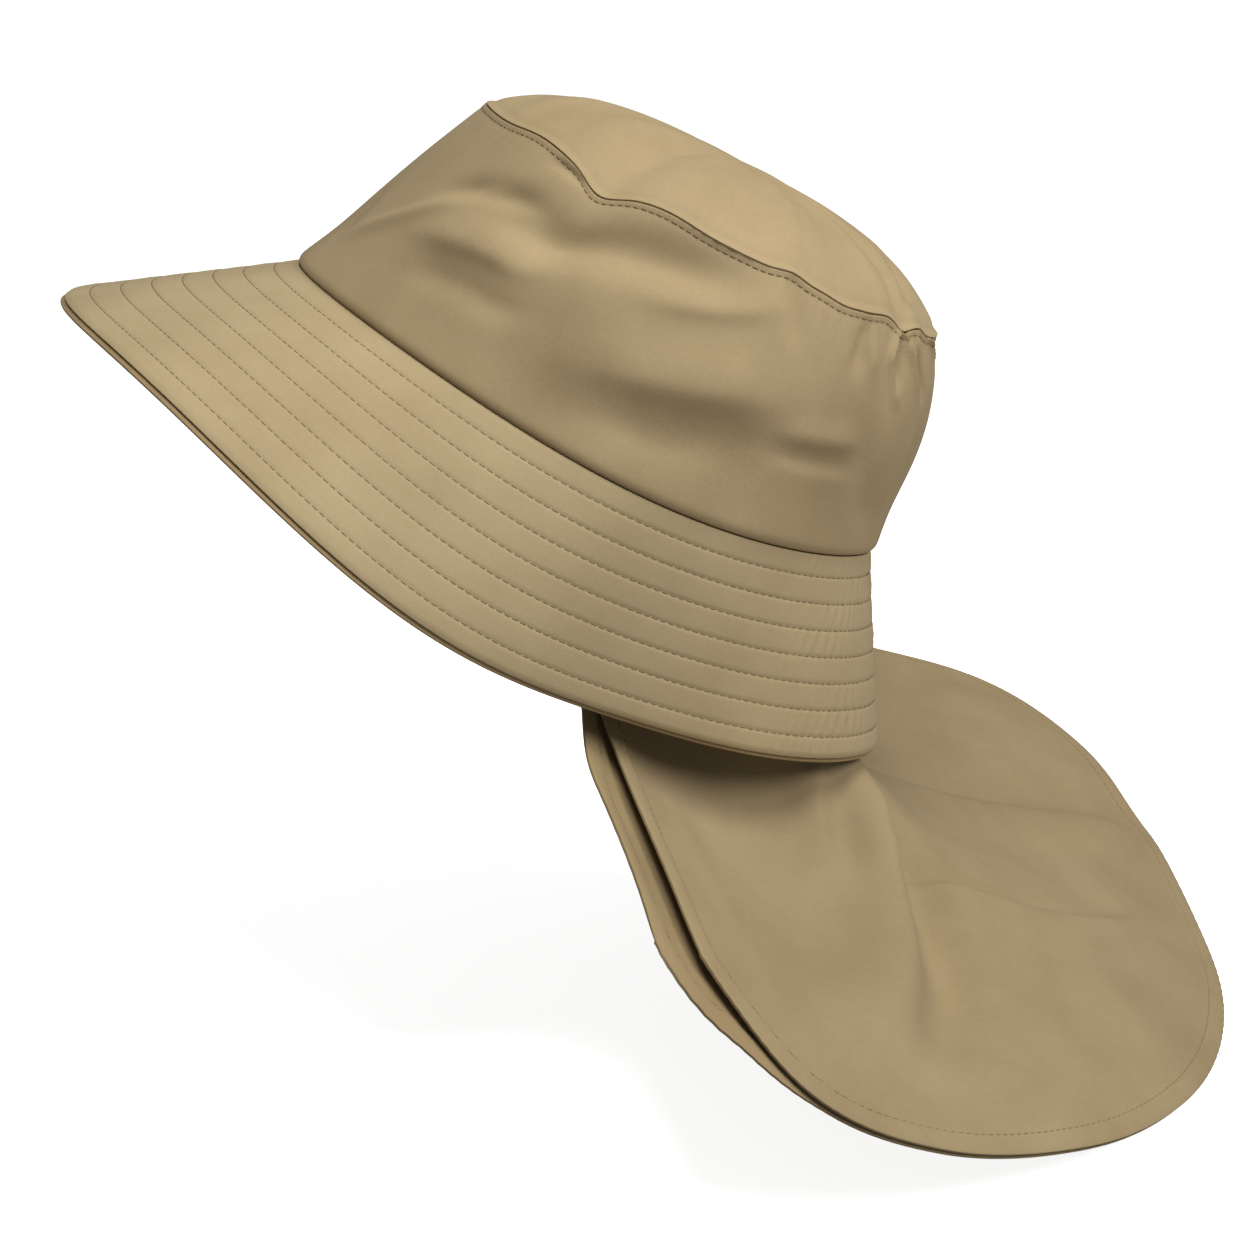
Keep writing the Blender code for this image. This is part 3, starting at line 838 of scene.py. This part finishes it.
def spun_thread(name, colour):
    material = bpy.data.materials.new(name)
    material.use_nodes = True
    shader = material.node_tree.nodes["Principled BSDF"]
    body = add_node(material, "ShaderNodeTexCoord").outputs["Object"]
    twist = add_node(material, "ShaderNodeTexNoise", {"Scale": 1000 / 1.2, "Detail": 2.0},
                     {"Vector": body}).outputs["Fac"]
    mix = add_node(material, "ShaderNodeMix", {"data_type": "RGBA"}, {0: twist})
    mix.inputs[6].default_value = linear(colour)
    mix.inputs[7].default_value = [0.75 * c for c in linear(colour)[:3]] + [1]
    material.node_tree.links.new(mix.outputs[2], shader.inputs["Base Color"])
    shader.inputs["Roughness"].default_value = 0.6
    return material


# %% Cloth finishes
# One cloth in five shades: the brim's upper layer is lightest, the crown a little darker, and the brim's
# underside, the flap and its inner ply darker still. These differences are painted light and shade for how
# each piece is lit.
crown_cotton = woven_cotton("crown_brushed_cotton", "A28E6B", "94815F")
brim_cotton = woven_cotton("brim_brushed_cotton", "A69471", "9A8866")
underside_painted_shade_cotton = woven_cotton("brim_underside_painted_shade_cloth", "98825D", "8A7450")
flap_painted_shade_cotton = woven_cotton("flap_painted_shade_cloth", "958362", "897757")
inner_ply_painted_shade_cotton = woven_cotton("flap_inner_painted_shade_cloth", "94805D", "867251")
# The thread's colour is darker than the cloth's: painted shade for the grooves and needle holes that the
# stitches sit in.
thread_with_painted_groove_shade = spun_thread("sewing_thread_painted_groove_shade", "84704C")

FINISHES = (
    (crown_side, crown_cotton), (crown_tip, crown_cotton), (brim_upper, brim_cotton),
    (brim_under, underside_painted_shade_cotton), (flap_outer, flap_painted_shade_cotton), (flap_inner, inner_ply_painted_shade_cotton),
    (brim_stitches, thread_with_painted_groove_shade), (tip_stitches, thread_with_painted_groove_shade), (outer_stitches, thread_with_painted_groove_shade),
    (inner_stitches, thread_with_painted_groove_shade),
)
for piece, finish in FINISHES:
    piece.data.materials.append(finish)
    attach(piece, "root")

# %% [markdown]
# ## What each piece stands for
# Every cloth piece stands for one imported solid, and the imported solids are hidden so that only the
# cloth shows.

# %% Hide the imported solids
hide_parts("crown_side")
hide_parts("crown_tip")
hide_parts("brim_upper")
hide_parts("brim_under")
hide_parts("neck_flap_outer")
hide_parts("neck_flap_inner")

# %% [markdown]
# ## Floor, light and camera
# A pale floor lies just under the flap's lowest point. It looks bright to the camera and grey to the
# cloth, so it throws little light up. Soft light comes mostly from above, so the brim shades what
# hangs under it, with a second soft light from behind and a faint fill from all round. The camera
# looks at the hat's left side, slightly from the back and from above.

# %% Floor
low = min(
    (piece.matrix_world @ vert.co).z
    for piece in (flap_outer, flap_inner) for vert in piece.data.vertices)
floor_mesh = bpy.data.meshes.new("pale_floor")
bm = bmesh.new()
bmesh.ops.create_grid(bm, x_segments=2, y_segments=2, size=6)
bmesh.ops.translate(bm, verts=bm.verts[:], vec=(0, 0, low - 0.0012))
bm.to_mesh(floor_mesh)
bm.free()
floor = bpy.data.objects.new("pale_floor", floor_mesh)
bpy.context.scene.collection.objects.link(floor)
floor_paint = bpy.data.materials.new("white_studio_floor")
floor_paint.use_nodes = True
bright = floor_paint.node_tree.nodes["Principled BSDF"]
bright.inputs["Base Color"].default_value = linear("F8F8F8")
bright.inputs["Roughness"].default_value = 0.9
bright.inputs["Specular IOR Level"].default_value = 0.1
bright.inputs["Emission Color"].default_value = (1, 1, 1, 1)
bright.inputs["Emission Strength"].default_value = 0.86
dull = add_node(floor_paint, "ShaderNodeBsdfDiffuse", {"Color": linear("A0A0A0")})
seen_ray = add_node(floor_paint, "ShaderNodeLightPath")
blend = add_node(floor_paint, "ShaderNodeMixShader", None, {
    0: seen_ray.outputs["Is Camera Ray"], 1: dull.outputs[0], 2: bright.outputs[0]})
floor_paint.node_tree.links.new(
    blend.outputs[0], floor_paint.node_tree.nodes["Material Output"].inputs["Surface"])
floor_mesh.materials.append(floor_paint)

# %% Light
def soft_light(name, place, aim, size, power, colour=(1, 1, 1)):
    data = bpy.data.lights.new(name, "AREA")
    data.shape = "DISK"
    data.size = size
    data.energy = power
    data.color = colour
    lamp = bpy.data.objects.new(name, data)
    bpy.context.scene.collection.objects.link(lamp)
    lamp.location = place
    lamp.rotation_euler = (Vector(aim) - Vector(place)).to_track_quat("-Z", "Y").to_euler()
    return lamp


soft_light("top_softbox", (0.45, 0.18, 1.42), (0, 0, 0), 0.75, 18.5)
soft_light("rear_softbox", (0.50, 1.10, 0.80), (0, 0.1, 0), 0.8, 13)

world = bpy.data.worlds.new("studio_air")
bpy.context.scene.world = world
world.use_nodes = True
air = world.node_tree
sky = air.nodes["Background"]
sky.inputs["Color"].default_value = (1, 1, 1, 1)
sky.inputs["Strength"].default_value = 0.19
white = air.nodes.new("ShaderNodeBackground")
white.inputs["Color"].default_value = (1, 1, 1, 1)
white.inputs["Strength"].default_value = 1.0
seen = air.nodes.new("ShaderNodeLightPath")
both = air.nodes.new("ShaderNodeMixShader")
air.links.new(seen.outputs["Is Camera Ray"], both.inputs[0])
air.links.new(sky.outputs[0], both.inputs[1])
air.links.new(white.outputs[0], both.inputs[2])
air.links.new(both.outputs[0], air.nodes["World Output"].inputs["Surface"])
bpy.context.scene.view_settings.view_transform = "Standard"

# %% Camera
camera_data = bpy.data.cameras.new("camera")
camera_data.sensor_width = 36
camera_data.lens = 84.065
camera_data.clip_start = 0.01
camera = bpy.data.objects.new("camera", camera_data)
bpy.context.scene.collection.objects.link(camera)
camera.location = (0.9106, 0.1935, 0.1895)
look = Vector((0.0, 0.0135, -0.0742)) - camera.location
camera.rotation_euler = look.to_track_quat("-Z", "Y").to_euler()
bpy.context.scene.camera = camera
